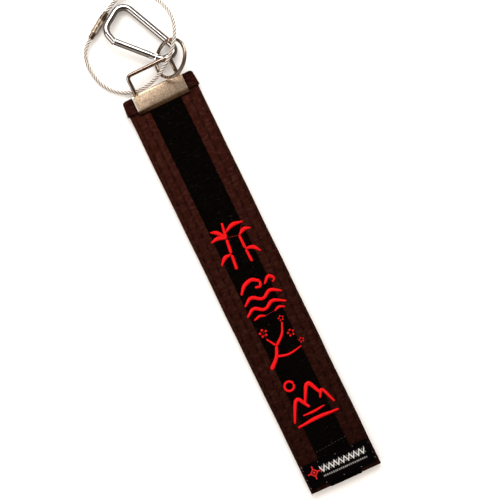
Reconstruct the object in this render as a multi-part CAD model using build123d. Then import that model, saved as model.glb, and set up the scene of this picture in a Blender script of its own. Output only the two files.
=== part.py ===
"""Key fob made like a martial arts rank belt, with its clamp, loop, rings, clip and cable ring.

Frame: +Z up and off the belt's face, +Y along the belt towards the clamp, +X to the right.
The origin is the middle of the belt, on the plane that its back rests on. Units are millimetres.
"""
from build123d import *
from math import atan2, cos, degrees, pi, radians, sin, tan
import os

# Belt
BELT_WIDTH = 44.5
BELT_THICK = 5.0
FREE_END_Y = -128.0
CLAMPED_END_Y = 125.0
END_SLANT = 1.5
CLOTH_THICK = 0.8
STRIPE_WIDTH = 20.0
STRIPE_THICK = 0.4
PINCH_HALF = 1.3
PINCH_START_Y = 104.0
PINCH_END_Y = 116.0
SEAM_ROWS_X = (-19.5, -14.3, 15.2, 20.5)
THREAD_WIDTH = 0.5
THREAD_PROUD = 0.25
FACE_EDGE_RADIUS = 1.2

# Label and embroidery
LABEL_SIZE = (41.5, 15.0)
LABEL_CENTRE = (-0.2, -118.2)
LABEL_THICK = 0.5
STITCH_HEIGHT = 0.9

# End binding
BINDING_TOP_Y = 128.5
BINDING_LOW_Y = 119.0
BINDING_WIDTHS = (47.0, 45.4)

# Clamp
CLAMP_WIDTH = 32.4
CLAMP_TOP_Y = 129.2
CLAMP_LOW_Y = 117.2
CLAMP_HALF = 3.2
PLATE = 1.0
TEETH = 9
TEETH_PITCH = 3.3

# Wire loop
WIRE = 2.4
LOOP_MIDDLE_X = 0.4
LOOP_HALF_WIDTH = 13.7
LOOP_LENGTH = 14.5
LOOP_REST_TILT = 20.0
AXLE_Y = 126.9
AXLE_Z = CLAMP_HALF
AXLE_REACH = 6.7
SLOT_WIDTH = 3.0
SLOT_DEPTH = 1.3

# Split ring
RING_RADIUS = 11.4
RING_BAND = 1.7
COIL = 0.76
COIL_GAP = 0.08
RING_CENTRE = (14.5, 139.0, 9.25)
RING_TILT = 41.0
RING_RISE_HEADING = -35.0
CROSSOVER_AT = 96.0

# Carabiner
ROD = 3.9
TONGUE = 1.4
FORK_SLOT = 1.7
PIN = 1.2
CLIP_PIVOT = (17.3, 150.2)
CLIP_SLOPE = 13.3
CLIP_RISE_HEADING = 205.0
CLIP_HEIGHT = 2.15
GATE_BASE = (4.6, 146.0)
GATE_HEADING = -45.6
GATE_NOSE_AT = -22.7
NOSE_GAP = 0.25
PIN_AT = 1.0
LATCH_AT = -21.7
LATCH_PIN = 0.9

# Screw barrel and cable
CABLE = 2.2
BARREL_START = (-22.8, 171.0, 2.65)
BARREL_HEADING = 33.0
BARREL_LENGTH = 18.0
NUT_RADIUS = 2.15
CABLE_LEAVES = 5.0
CABLE_RETURNS = 4.4
CABLE_ROUTE = [
    (4.6, 186.4, 2.3),
    (14.2, 183.6, 2.8),
    (21.0, 176.6, 5.6),
    (25.3, 167.0, 10.2),
    (25.6, 156.8, 15.2),
    (21.6, 146.8, 18.0),
    (14.4, 138.8, 16.6),
    (5.2, 133.2, 11.0),
    (-4.6, 130.7, 4.2),
    (-14.4, 131.2, 1.3),
    (-23.4, 136.1, 1.1),
    (-29.4, 144.1, 1.1),
    (-31.3, 153.2, 1.1),
    (-31.1, 159.4, 1.6),
    (-29.6, 164.6, 2.4),
]

# Embroidered motifs: each stroke is a list of (x, y, half width), in the motif's own frame
BAMBOO = [
    [(-5.0, -13.5, 1.0), (-4.0, -4.5, 0.9)],
    [(-3.9, -3.6, 1.0), (-2.8, 5.0, 0.9)],
    [(-2.7, 5.9, 1.0), (-1.2, 15.0, 0.7)],
    [(5.2, -13.0, 0.9), (4.9, -5.0, 0.8)],
    [(4.9, -4.2, 0.9), (5.0, 4.0, 0.8)],
    [(-2.6, 5.6, 0.5), (-7.0, 8.0, 1.5), (-12.0, 7.0, 0.4)],
    [(-2.4, 6.0, 0.5), (-6.2, 11.2, 1.4), (-9.8, 12.8, 0.4)],
    [(-1.6, 9.0, 0.5), (4.0, 11.8, 1.5), (10.4, 10.6, 0.4)],
    [(5.0, 4.2, 0.5), (9.0, 6.6, 1.4), (13.0, 5.2, 0.4)],
    [(4.9, -4.4, 0.5), (9.6, -5.4, 1.4), (12.6, -9.6, 0.4)],
    [(-4.0, -4.0, 0.5), (-8.4, -4.0, 1.4), (-12.2, -7.8, 0.4)],
]
WAVES = [
    [(-12.5, -9.0, 0.6), (-7.0, -5.0, 1.2), (-1.0, -9.6, 0.9), (5.0, -5.4, 1.2), (12.4, -9.8, 0.5)],
    [(-11.0, -2.6, 0.6), (-5.6, 1.4, 1.2), (0.6, -3.4, 0.9), (6.4, 0.8, 1.2), (12.8, -3.4, 0.5)],
    [(-10.0, 4.4, 0.6), (-6.2, 9.0, 1.3), (-0.6, 10.6, 1.2), (3.6, 7.4, 0.9)],
    [(3.6, 7.4, 0.9), (2.4, 4.2, 0.9), (-0.8, 5.2, 0.7)],
    [(5.2, 4.6, 0.6), (9.2, 8.4, 1.2), (12.2, 5.6, 0.7), (10.0, 3.6, 0.5)],
    [(-9.6, -12.2, 0.5), (-5.4, -11.0, 0.9), (-2.2, -12.6, 0.4)],
    [(3.6, -12.2, 0.4), (7.2, -10.8, 0.9), (10.4, -12.6, 0.4)],
]
BLOSSOM = [
    [(-12.4, -12.6, 1.3), (-6.4, -7.4, 1.1), (-3.6, -1.2, 0.9)],
    [(-3.6, -1.2, 0.9), (2.6, 3.6, 0.8), (5.4, 10.2, 0.5)],
    [(-6.0, -7.0, 0.8), (1.0, -9.0, 0.7), (9.6, -7.4, 0.4)],
    [(-3.8, -0.8, 0.7), (-7.2, 4.8, 0.5)],
]
BLOSSOM_FLOWERS = ((-7.4, 8.8, 3.1), (7.4, 2.2, 2.7), (5.8, 12.4, 2.1), (11.2, -4.4, 1.9))
PETALS = 5
PETAL_TURN = 360 / PETALS
MOUNTAIN = [
    [(-13.6, -11.0, 0.6), (-6.6, 3.4, 1.3), (-1.4, -5.8, 0.8)],
    [(-3.2, -3.0, 0.7), (3.4, 9.4, 1.4), (8.0, -1.0, 0.9)],
    [(6.4, -3.6, 0.6), (9.4, 1.8, 1.1), (13.2, -9.0, 0.6)],
    [(-12.8, -14.0, 0.6), (0.0, -13.0, 1.3), (13.4, -14.2, 0.6)],
    [(-7.2, -8.8, 0.4), (0.0, -9.2, 0.9), (6.8, -8.4, 0.4)],
]
SUN = (-7.0, 10.4, 2.9)
MOTIFS = {
    "motif_1": (0.6, 24.4),
    "motif_2": (1.3, -8.4),
    "motif_3": (0.6, -38.4),
    "motif_4": (0.4, -74.6),
}

RING_THICK = 2 * COIL + COIL_GAP
BELT_MIDDLE_Z = BELT_THICK / 2
COVER_HALF = BELT_MIDDLE_Z - STRIPE_THICK
SIDE = BELT_WIDTH / 2


# Belt

def along_belt(half, pinched_half, start_y, end_y):
    """Face in the YZ plane: a layer centred in the belt that thins and rises towards the clamp."""
    bend_y = (PINCH_START_Y + PINCH_END_Y) / 2
    edges = []
    for side in (1, -1):
        flat_z = BELT_MIDDLE_Z + side * half
        held_z = CLAMP_HALF + side * pinched_half
        before = Edge.make_line((0, start_y, flat_z), (0, PINCH_START_Y, flat_z))
        rise = Edge.make_bezier(
            (0, PINCH_START_Y, flat_z),
            (0, bend_y, flat_z),
            (0, bend_y, held_z),
            (0, PINCH_END_Y, held_z),
        )
        after = Edge.make_line((0, PINCH_END_Y, held_z), (0, end_y, held_z))
        edges += [before, rise, after]
    for y, middle, h in ((start_y, BELT_MIDDLE_Z, half), (end_y, CLAMP_HALF, pinched_half)):
        edges.append(Edge.make_line((0, y, middle - h), (0, y, middle + h)))
    return Face(Wire(edges))


def layer(half, pinched_half, low_x, high_x, start_y, end_y):
    """Solid of that profile between two stations across the belt."""
    face = along_belt(half, pinched_half, start_y, end_y)
    return Solid.extrude(face.moved(Location((low_x, 0, 0))), Vector(high_x - low_x, 0, 0))


def free_end_cut(end_y):
    """Everything past the belt's slightly slanted free end."""
    return Pos(0, end_y, 0) * Rot(0, 0, -END_SLANT) * Pos(0, -20, 0) * Box(80, 40, 40)


def make_core():
    inner = COVER_HALF - CLOTH_THICK
    reach = SIDE - CLOTH_THICK
    core = layer(inner, 0.5, -reach, reach, FREE_END_Y - 5, CLAMPED_END_Y)
    return core - free_end_cut(FREE_END_Y + CLOTH_THICK)


def make_cover(core):
    cover = layer(COVER_HALF, PINCH_HALF, -SIDE, SIDE, FREE_END_Y - 5, CLAMPED_END_Y)
    long_edges = [e for e in cover.edges() if abs(abs(e.center().X) - SIDE) < 0.01 and e.length > 8]
    cover = cover.fillet(FACE_EDGE_RADIUS, long_edges)
    return cover - free_end_cut(FREE_END_Y) - core


def make_stripe(cover, core):
    """Ribbon down both faces and round the free end."""
    half = STRIPE_WIDTH / 2
    outer = layer(
        COVER_HALF + STRIPE_THICK, PINCH_HALF + STRIPE_THICK, -half, half,
        FREE_END_Y - 5, CLAMPED_END_Y,
    )
    return outer - free_end_cut(FREE_END_Y - STRIPE_THICK) - cover - core


def make_thread_rows(face, cover, core):
    """One sewing thread along each row, on the face (1) or the back (-1)."""
    rows = []
    for x in SEAM_ROWS_X:
        row = layer(
            COVER_HALF + THREAD_PROUD, PINCH_HALF + THREAD_PROUD,
            x - THREAD_WIDTH / 2, x + THREAD_WIDTH / 2, FREE_END_Y + 3, CLAMP_LOW_Y - 1,
        )
        half_space = Pos(0, 0, BELT_MIDDLE_Z + face * 10) * Box(80, 400, 20)
        rows.append((row & half_space) - cover - core)
    return Compound(children=[s for row in rows for s in row.solids()])


def make_label(stripe, threads):
    """Woven label, lying over the stripe and the cloth beside it."""
    bottom = BELT_MIDDLE_Z + COVER_HALF
    top = BELT_THICK + LABEL_THICK
    height = top - bottom
    place = Pos(*LABEL_CENTRE, bottom + height / 2) * Rot(0, 0, -END_SLANT)
    return place * Box(*LABEL_SIZE, height) - stripe - threads


def stroke_outline(stroke):
    """Face of an embroidered stroke: straight tapered lengths with round ends, joined."""
    whole = None
    for (x0, y0, r0), (x1, y1, r1) in zip(stroke, stroke[1:]):
        run = make_hull((Pos(x0, y0) * Circle(r0)).edges() + (Pos(x1, y1) * Circle(r1)).edges())
        whole = run if whole is None else whole + run
    return whole


def flower_strokes(x, y, size):
    """Petals as short fat strokes round a centre."""
    petals = []
    for i in range(PETALS):
        a = radians(90 + i * PETAL_TURN)
        near, far = 0.42 * size, 0.86 * size
        petals.append([
            (x + near * cos(a), y + near * sin(a), 0.2 * size),
            (x + far * cos(a), y + far * sin(a), 0.4 * size),
        ])
    return petals


def sun_strokes(x, y, size):
    """Ring of strokes round an open middle."""
    sides = 10
    step = 2 * pi / sides
    points = [(x + size * cos(i * step), y + size * sin(i * step), 0.75) for i in range(sides + 1)]
    return [points]


def motif_strokes():
    flowers = [s for flower in BLOSSOM_FLOWERS for s in flower_strokes(*flower)]
    return {
        "motif_1": BAMBOO,
        "motif_2": WAVES,
        "motif_3": BLOSSOM + flowers,
        "motif_4": MOUNTAIN + sun_strokes(*SUN),
    }


def make_motif(name, strokes, stripe, threads):
    """Raised satin stitch that stands on the stripe and on the cloth beside it."""
    bottom = BELT_MIDDLE_Z + COVER_HALF
    whole = None
    for stroke in strokes:
        face = stroke_outline(stroke)
        whole = face if whole is None else whole + face
    solid = extrude(Pos(*MOTIFS[name], bottom) * whole, BELT_THICK - bottom + STITCH_HEIGHT)
    return Compound(children=(solid - stripe - threads).solids())


def make_binding(cover, core, stripe):
    """Folded cloth cap over the clamped end, tucked in behind the loop's axle."""
    low, high = (w / 2 for w in BINDING_WIDTHS)
    outline = Polyline(
        (-low, BINDING_LOW_Y), (low, BINDING_LOW_Y), (high, BINDING_TOP_Y), (-high, BINDING_TOP_Y),
        close=True,
    )
    face = make_face(outline.edges())
    top_corners = [v for v in face.vertices() if v.Y > BINDING_TOP_Y - 1]
    face = fillet(top_corners, 2.0)
    half = CLAMP_HALF - PLATE
    cap = extrude(Pos(0, 0, CLAMP_HALF - half) * face, 2 * half)
    recess = Pos(0, CLAMPED_END_Y + 10.4, CLAMP_HALF) * Box(CLAMP_WIDTH + 0.4, 20, 20)
    return cap - recess - cover - core - stripe


# Clamp and loop

def clamp_half_section(side):
    """Half of the clamp's folded section in the YZ plane, above (1) or below (-1) its middle."""
    inside = CLAMP_HALF - PLATE
    web = CLAMP_TOP_Y - PLATE

    def at(y, height):
        return (0, y, CLAMP_HALF + side * height)

    edges = [
        Edge.make_line(at(CLAMP_TOP_Y, 0), at(CLAMP_TOP_Y, CLAMP_HALF - 1.3)),
        Edge.make_three_point_arc(
            at(CLAMP_TOP_Y, CLAMP_HALF - 1.3),
            at(CLAMP_TOP_Y - 0.38, CLAMP_HALF - 0.38),
            at(CLAMP_TOP_Y - 1.3, CLAMP_HALF),
        ),
        Edge.make_line(at(CLAMP_TOP_Y - 1.3, CLAMP_HALF), at(CLAMP_LOW_Y + 2.9, CLAMP_HALF)),
        Edge.make_three_point_arc(
            at(CLAMP_LOW_Y + 2.9, CLAMP_HALF),
            at(CLAMP_LOW_Y + 1.0, CLAMP_HALF - 0.42),
            at(CLAMP_LOW_Y, CLAMP_HALF - 1.2),
        ),
        Edge.make_line(at(CLAMP_LOW_Y, CLAMP_HALF - 1.2), at(CLAMP_LOW_Y + 0.6, 1.72)),
        Edge.make_three_point_arc(
            at(CLAMP_LOW_Y + 0.6, 1.72), at(CLAMP_LOW_Y + 1.6, 2.02), at(CLAMP_LOW_Y + 2.9, inside),
        ),
        Edge.make_line(at(CLAMP_LOW_Y + 2.9, inside), at(web, inside)),
        Edge.make_line(at(web, inside), at(web, 0)),
        Edge.make_line(at(web, 0), at(CLAMP_TOP_Y, 0)),
    ]
    return Face(Wire(edges))


def make_teeth(side):
    """Row of teeth under one lip, biting into the cloth."""
    teeth = []
    for i in range(TEETH):
        x = (i - (TEETH - 1) / 2) * TEETH_PITCH
        points = [(CLAMP_LOW_Y + 0.7, 2.0), (CLAMP_LOW_Y + 2.3, 2.4), (CLAMP_LOW_Y + 1.2, 1.2)]
        corners = [(x - 0.7, y, CLAMP_HALF + side * height) for y, height in points]
        teeth.append(Solid.extrude(Face(Wire.make_polygon(corners)), Vector(1.4, 0, 0)))
    return teeth


def make_clamp():
    half_width = CLAMP_WIDTH / 2
    shell = None
    for side in (1, -1):
        face = clamp_half_section(side).moved(Location((-half_width, 0, 0)))
        plate = Solid.extrude(face, Vector(CLAMP_WIDTH, 0, 0))
        shell = plate if shell is None else shell + plate
        shell = shell + make_teeth(side)
    for side in (1, -1):
        x = LOOP_MIDDLE_X + side * LOOP_HALF_WIDTH
        shell = shell - Pos(x, CLAMP_TOP_Y, CLAMP_HALF) * Box(SLOT_WIDTH, 2 * SLOT_DEPTH, 20)
    return shell


def make_loop():
    """Rectangular wire loop with its ends turned in, tilted up about its axle."""
    w = LOOP_HALF_WIDTH
    path = FilletPolyline(
        (-w + AXLE_REACH, 0), (-w, 0), (-w, LOOP_LENGTH), (w, LOOP_LENGTH), (w, 0), (w - AXLE_REACH, 0),
        radius=[1.6, 2.6, 2.6, 1.6],
    )
    section = Plane(origin=path @ 0, z_dir=path % 0) * Circle(WIRE / 2)
    loop = sweep(section, path=path)
    return Pos(LOOP_MIDDLE_X, AXLE_Y, AXLE_Z) * Rot(LOOP_REST_TILT, 0, 0) * loop


# Split ring

def ring_plane():
    """The ring's own plane: X points up the slope, Z is the ring's axis."""
    heading, tilt = radians(RING_RISE_HEADING), radians(RING_TILT)
    rise = (cos(tilt) * cos(heading), cos(tilt) * sin(heading), sin(tilt))
    axis = (-sin(tilt) * cos(heading), -sin(tilt) * sin(heading), cos(tilt))
    return Plane(origin=RING_CENTRE, x_dir=rise, z_dir=axis)


def make_split_ring():
    """Two flat coils of one wire, which steps from the lower to the upper at the crossover."""
    step_half = 12.0
    low_z = -RING_THICK / 2
    inner, outer = RING_RADIUS - RING_BAND / 2, RING_RADIUS + RING_BAND / 2
    coils = []
    for bottom in (low_z, low_z + COIL + COIL_GAP):
        section = Pos(RING_RADIUS, 0, bottom + COIL / 2) * Rot(90, 0, 0) * RectangleRounded(
            RING_BAND, COIL, 0.22
        )
        start = CROSSOVER_AT + step_half
        coils.append(Rot(0, 0, start) * revolve(section, Axis.Z, 360 - 2 * step_half))
    reach = RING_RADIUS * sin(radians(step_half)) + 0.25
    side_view = make_face(
        Polyline(
            (-reach, low_z), (reach, low_z + COIL + COIL_GAP), (reach, -low_z), (-reach, low_z + COIL),
            close=True,
        ).edges()
    )
    step = extrude(Plane.XZ * side_view, -20)
    band = extrude(Pos(0, 0, low_z) * (Circle(outer) - Circle(inner)), RING_THICK)
    step = step & band
    step = Rot(0, 0, CROSSOVER_AT - 90) * step
    ring = coils[0] + coils[1] + step
    return ring_plane() * ring


# Carabiner, drawn flat and then laid on the slope that it rests on

def on_slope(shape):
    heading = radians(CLIP_RISE_HEADING)
    hinge = Axis((*CLIP_PIVOT, 0), (sin(heading), -cos(heading), 0))
    return Pos(0, 0, CLIP_HEIGHT) * shape.rotate(hinge, CLIP_SLOPE)


def gate_frame(along, across=0.0):
    """Frame on the gate's line, Z along it towards the hinge and X square to the clip's plane."""
    heading = radians(GATE_HEADING)
    x = GATE_BASE[0] + along * cos(heading) - across * sin(heading)
    y = GATE_BASE[1] + along * sin(heading) + across * cos(heading)
    return Plane(origin=(x, y, 0), x_dir=(0, 0, 1), z_dir=(cos(heading), sin(heading), 0))


def gate_point(along):
    return tuple(gate_frame(along).origin)


def gate_rod(start, end, radius):
    """Round bar on the gate's line from one station to another."""
    return gate_frame(start) * Cylinder(radius, end - start, align=(Align.CENTER, Align.CENTER, Align.MIN))


def gate_block(start, end, thick, wide, across=0.0):
    """Block on the gate's line: thick square to the clip's plane, wide within it."""
    size = Box(thick, wide, end - start, align=(Align.CENTER, Align.CENTER, Align.MIN))
    return gate_frame(start, across) * size


def cross_pin(along, radius, length):
    x, y, _ = gate_point(along)
    return Pos(x, y, 0) * Cylinder(radius, length)


def make_clip_body():
    ear_radius = ROD / 2
    shoulder = PIN_AT + ear_radius + 0.15
    hinge_end = gate_point(shoulder)
    path = FilletPolyline(
        (-11.45, 161.7), (-14.05, 171.07), (2.54, 182.8), (21.46, 140.9), (9.5, 141.0), hinge_end[:2],
        radius=[7.0, 6.2, 4.5, 5.0],
    )
    section = Plane(origin=path @ 0, z_dir=path % 0) * Circle(ear_radius)
    body = sweep(section, path=path)
    body = body - gate_block(GATE_NOSE_AT - NOSE_GAP, GATE_NOSE_AT + 6, 10, 12)
    nose = gate_block(GATE_NOSE_AT - 1.5, LATCH_AT + 1.1, TONGUE, 2.4)
    notch = gate_block(LATCH_AT - 0.6, LATCH_AT + 0.6, 3, 4, across=1.4)
    tail = gate_block(PIN_AT - 1.6, shoulder + 0.8, TONGUE, ROD - 0.1)
    hole = cross_pin(PIN_AT, PIN / 2 + 0.05, 10)
    return body + (nose - notch) + (tail - hole)


def make_gate():
    """Round gate, forked at both ends, bored for its spring."""
    ear_radius = ROD / 2
    gate = gate_rod(GATE_NOSE_AT, PIN_AT, ear_radius)
    ears = cross_pin(PIN_AT, ear_radius, ROD) & gate_rod(PIN_AT - 0.01, PIN_AT + 3, ear_radius)
    gate = gate + ears
    gate = gate - gate_block(PIN_AT - 2.75, PIN_AT + 3, FORK_SLOT, 6)
    gate = gate - gate_block(GATE_NOSE_AT - 1, LATCH_AT + 2.1, FORK_SLOT, 6)
    gate = gate - gate_rod(-11.0, PIN_AT - 2.7, 1.2)
    gate = gate - cross_pin(PIN_AT, PIN / 2, 10) - cross_pin(LATCH_AT, LATCH_PIN / 2, 10)
    for along in (-3.6, -17.2):
        gate = gate - gate_frame(along, -ear_radius) * Rot(90, 0, 0) * Cylinder(0.4, 0.9)
    return gate


def make_gate_rivet():
    return cross_pin(PIN_AT, PIN / 2, ROD - 0.2)


def make_latch_pin():
    return cross_pin(LATCH_AT, LATCH_PIN / 2, ROD - 0.2)


def make_gate_follower():
    """Plunger that bears on the body's tongue."""
    tip_at = PIN_AT - 1.65
    return gate_rod(tip_at - 1.25, tip_at, 0.75) + gate_rod(tip_at - 3.6, tip_at - 1.2, 1.1)


def make_gate_spring():
    wire, radius, height, pitch = 0.32, 0.85, 6.0, 0.75
    base = gate_frame(PIN_AT - 1.65 - 3.6 - wire / 2 - height - 0.02)
    path = Helix(pitch, height, radius)
    section = Plane(origin=path @ 0, z_dir=path % 0) * Circle(wire / 2)
    return base * sweep(section, path=path, is_frenet=True)


# Cable ring

def barrel_rod(start, end, radius):
    heading = radians(BARREL_HEADING)
    d = Vector(cos(heading), sin(heading), 0)
    base = Plane(origin=Vector(*BARREL_START) + d * start, z_dir=d)
    return base * Cylinder(radius, end - start, align=(Align.CENTER, Align.CENTER, Align.MIN))


def make_ferrule_a():
    """Crimped ferrule with its threaded stud."""
    return barrel_rod(0, 3.5, 1.55) + barrel_rod(3.5, 8.2, 1.3)


def make_ferrule_b():
    """Crimped ferrule with the collar outside and the flange inside the barrel."""
    outside = barrel_rod(15.3, BARREL_LENGTH, 1.55) + barrel_rod(12.9, 15.3, 1.9)
    return outside + barrel_rod(10.9, 12.9, 1.2) + barrel_rod(9.4, 10.9, 1.55)


def make_nut():
    nut = barrel_rod(3.7, 12.7, NUT_RADIUS)
    nut = nut - barrel_rod(3.6, 9.0, 1.35) - barrel_rod(8.6, 11.1, 1.65) - barrel_rod(11.0, 12.8, 1.25)
    round_edges = nut.edges().filter_by(GeomType.CIRCLE)
    ends = [e for e in round_edges if abs(e.radius - NUT_RADIUS) < 0.01]
    return nut.chamfer(0.3, None, ends)


def cable_points():
    """The cable leaves one ferrule and comes back to the other in line with the barrel."""
    heading = radians(BARREL_HEADING)
    d = Vector(cos(heading), sin(heading), 0)
    back = Vector(*BARREL_START)
    out = back + d * BARREL_LENGTH
    middle = [Vector(*p) for p in CABLE_ROUTE]
    return [out, out + d * CABLE_LEAVES, *middle, back - d * CABLE_RETURNS, back]


def bend_radii(points):
    """The largest arc that each corner's two runs allow."""
    radii = []
    for a, b, c in zip(points, points[1:], points[2:]):
        turn = (b - a).get_angle(c - b)
        shorter = min((b - a).length, (c - b).length)
        radii.append(0.45 * shorter / tan(radians(turn) / 2))
    return radii


def make_cable():
    points = cable_points()
    radii = bend_radii(points)
    path = FilletPolyline(*points, radius=radii)
    section = Plane(origin=path @ 0, z_dir=path % 0) * Circle(CABLE / 2)
    cable = sweep(section, path=path)
    wanted = pi * (CABLE / 2) ** 2 * path.length
    print("cable bend radii", [round(r, 1) for r in radii])
    print("cable length", round(path.length, 1), "volume over expected", round(cable.volume / wanted, 4))
    return cable


def main():
    core = make_core()
    cover = make_cover(core)
    stripe = make_stripe(cover, core)
    needle_threads = make_thread_rows(1, cover, core)
    bobbin_threads = make_thread_rows(-1, cover, core)
    label = make_label(stripe, needle_threads)
    needle_threads = needle_threads - label
    clamp = make_clamp()
    binding = make_binding(cover, core, stripe)
    parts = {
        "belt_core": core,
        "belt_cover": cover - clamp,
        "black_stripe": stripe - clamp,
        "needle_threads": needle_threads,
        "bobbin_threads": bobbin_threads,
        "label": label,
        "end_binding": binding - clamp,
        "clamp_shell": clamp,
        "wire_loop": make_loop(),
        "split_ring": make_split_ring(),
        "carabiner_body": on_slope(make_clip_body()),
        "gate": on_slope(make_gate()),
        "gate_rivet": on_slope(make_gate_rivet()),
        "latch_pin": on_slope(make_latch_pin()),
        "gate_follower": on_slope(make_gate_follower()),
        "gate_spring": on_slope(make_gate_spring()),
        "ferrule_a": make_ferrule_a(),
        "ferrule_b": make_ferrule_b(),
        "barrel_nut": make_nut(),
        "cable": make_cable(),
    }
    for name, strokes in motif_strokes().items():
        parts[name] = make_motif(name, strokes, stripe, needle_threads)
    os.makedirs("parts", exist_ok=True)
    for name, shape in parts.items():
        export_step(shape, f"parts/{name}.step")


main()
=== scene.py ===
"""Looks of the belt key fob: cloth, stitching, embroidery, hardware and cable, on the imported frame."""

import bpy
import random
from math import ceil, copysign, cos, exp, hypot, pi, radians, sin, tan
from mathutils import Euler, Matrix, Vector


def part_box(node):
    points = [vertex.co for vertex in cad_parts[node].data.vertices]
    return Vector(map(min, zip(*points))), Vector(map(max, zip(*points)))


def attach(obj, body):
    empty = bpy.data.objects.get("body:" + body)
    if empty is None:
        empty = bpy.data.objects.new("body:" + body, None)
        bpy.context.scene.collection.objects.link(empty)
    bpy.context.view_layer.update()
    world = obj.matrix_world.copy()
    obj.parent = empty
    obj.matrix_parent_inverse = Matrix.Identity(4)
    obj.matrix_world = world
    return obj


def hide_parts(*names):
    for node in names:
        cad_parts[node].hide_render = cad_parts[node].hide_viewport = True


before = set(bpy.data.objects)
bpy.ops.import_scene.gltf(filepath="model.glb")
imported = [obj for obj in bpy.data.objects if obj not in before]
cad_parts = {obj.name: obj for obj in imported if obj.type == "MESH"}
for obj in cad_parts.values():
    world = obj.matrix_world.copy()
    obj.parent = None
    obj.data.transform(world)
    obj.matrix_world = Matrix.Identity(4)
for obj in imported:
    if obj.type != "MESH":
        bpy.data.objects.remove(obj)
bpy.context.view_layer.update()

MM = 0.001


def corners(node):
    """A CAD piece's lowest and highest corners, in millimetres to the nearest micrometre."""
    return [[round(place / MM, 3) for place in corner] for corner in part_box(node)]


cover_low, cover_high = corners("belt_cover")
stripe_high = corners("black_stripe")[1]
label_low, label_high = corners("label")
clamp_low, clamp_high = corners("clamp_shell")
binding_low, binding_high = corners("end_binding")

# The belt's own layout, in millimetres; the free end's slant is in degrees
SIDE = cover_high[0]
SIDE_ROUND = 1.3
SIDE_REACH = 1.38
FREE_END_Y = -128.0
CLAMPED_END_Y = cover_high[1]
END_SLANT = 1.5
SLANT_FADE = 60.0
COVER_HALF = (cover_high[2] - cover_low[2]) / 2
COVER_HALF_HELD = 1.3
MIDDLE = (cover_high[2] + cover_low[2]) / 2
MIDDLE_HELD = (binding_high[2] + binding_low[2]) / 2
PINCH = (104.0, 116.0)
STRIPE_HALF = stripe_high[0]
STRIPE_PROUD = stripe_high[2] - cover_high[2]
RIBBON_THICKNESS = 0.22
SEAMS = (-19.5, -14.3, 15.2, 20.5)
SEAM_WIDTH = 0.62
SEAM_STAGGER = 0.9
STITCH_PITCH = 3.7
STITCH_LENGTH = 3.0
THREAD_RADIUS = 0.27
FACE_STITCHES = (-110.0, 115.5)
BACK_STITCHES = (-124.0, 115.5)
CROSS_SEAM_START = (-9.3, -105.5)
CROSS_SEAM_PITCH = 2.05
CROSS_SEAM_STITCHES = 10
LOOSE_ENDS = ((22.6, 118.4, 0.5), (-22.0, -126.4, 3.6))
LOOSE_END_LENGTH = 1.9

# Where the clamp's painted shadow falls on the cloth, and where the painted light and shade on the clamp
# change, in metres
CLAMP_Y = clamp_low[1] * MM
CLAMP_SHADOW_Y = CLAMP_Y - 0.0013
EAR_X = clamp_high[0] * MM + 0.0001
EAR_SHADOW_RISE = 0.0019
LIP_Y = CLAMP_Y + 0.0015
FACE_Y = CLAMP_Y + 0.002
EDGE_HIGHLIGHT_X = clamp_low[0] * MM + 0.0006


# Camera and light

CAMERA_PLACE = (0.0075, 0.0179, 0.821)
CAMERA_TURN = -25.82
LIGHT_AIM = Vector((0, 0.08, 0))
LIGHT_REACH = 1.25
ROOM_LIGHT = (0.83, 0.76, 0.7)
MIRRORED_ROOM = (
    (0.0, (0.05, 0.04, 0.03)),
    (0.25, (0.1, 0.08, 0.065)),
    (0.38, (0.3, 0.265, 0.235)),
    (0.48, (0.3, 0.265, 0.235)),
    (0.56, (0.09, 0.07, 0.055)),
    (0.9, (0.06, 0.045, 0.035)),
    (1.0, (0.05, 0.036, 0.028)),
)
FLOOR_HALF = 3.0
FLOOR_Z = -0.0003


def add_camera():
    """Camera straight above the belt, turned so that the belt slants as it does in the photograph."""
    data = bpy.data.cameras.new("camera")
    data.lens = 100
    data.sensor_width = 36
    data.clip_start = 0.01
    camera = bpy.data.objects.new("camera", data)
    camera.location = CAMERA_PLACE
    camera.rotation_euler = Euler((0, 0, radians(CAMERA_TURN)))
    bpy.context.scene.collection.objects.link(camera)
    bpy.context.scene.camera = camera


def add_softbox(name, heading, height, size, power, colour):
    """Area light at a heading and a height in degrees, aimed at the hardware."""
    data = bpy.data.lights.new(name, "AREA")
    data.shape = "RECTANGLE"
    data.size, data.size_y = size
    data.energy = power
    data.color = colour
    light = bpy.data.objects.new(name, data)
    level, up = radians(heading), radians(height)
    away = Vector((cos(up) * cos(level), cos(up) * sin(level), sin(up)))
    light.location = LIGHT_AIM + LIGHT_REACH * away
    light.rotation_euler = away.to_track_quat("Z", "Y").to_euler()
    bpy.context.scene.collection.objects.link(light)


def fill_ramp(node, stops):
    """Give a new colour ramp its stops, each a place and a colour, from the first to the last."""
    elements = node.color_ramp.elements
    for element, (place, colour) in ((elements[0], stops[0]), (elements[1], stops[-1])):
        element.position = place
        element.color = (*colour, 1)
    for place, colour in stops[1:-1]:
        elements.new(place).color = (*colour, 1)


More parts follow.
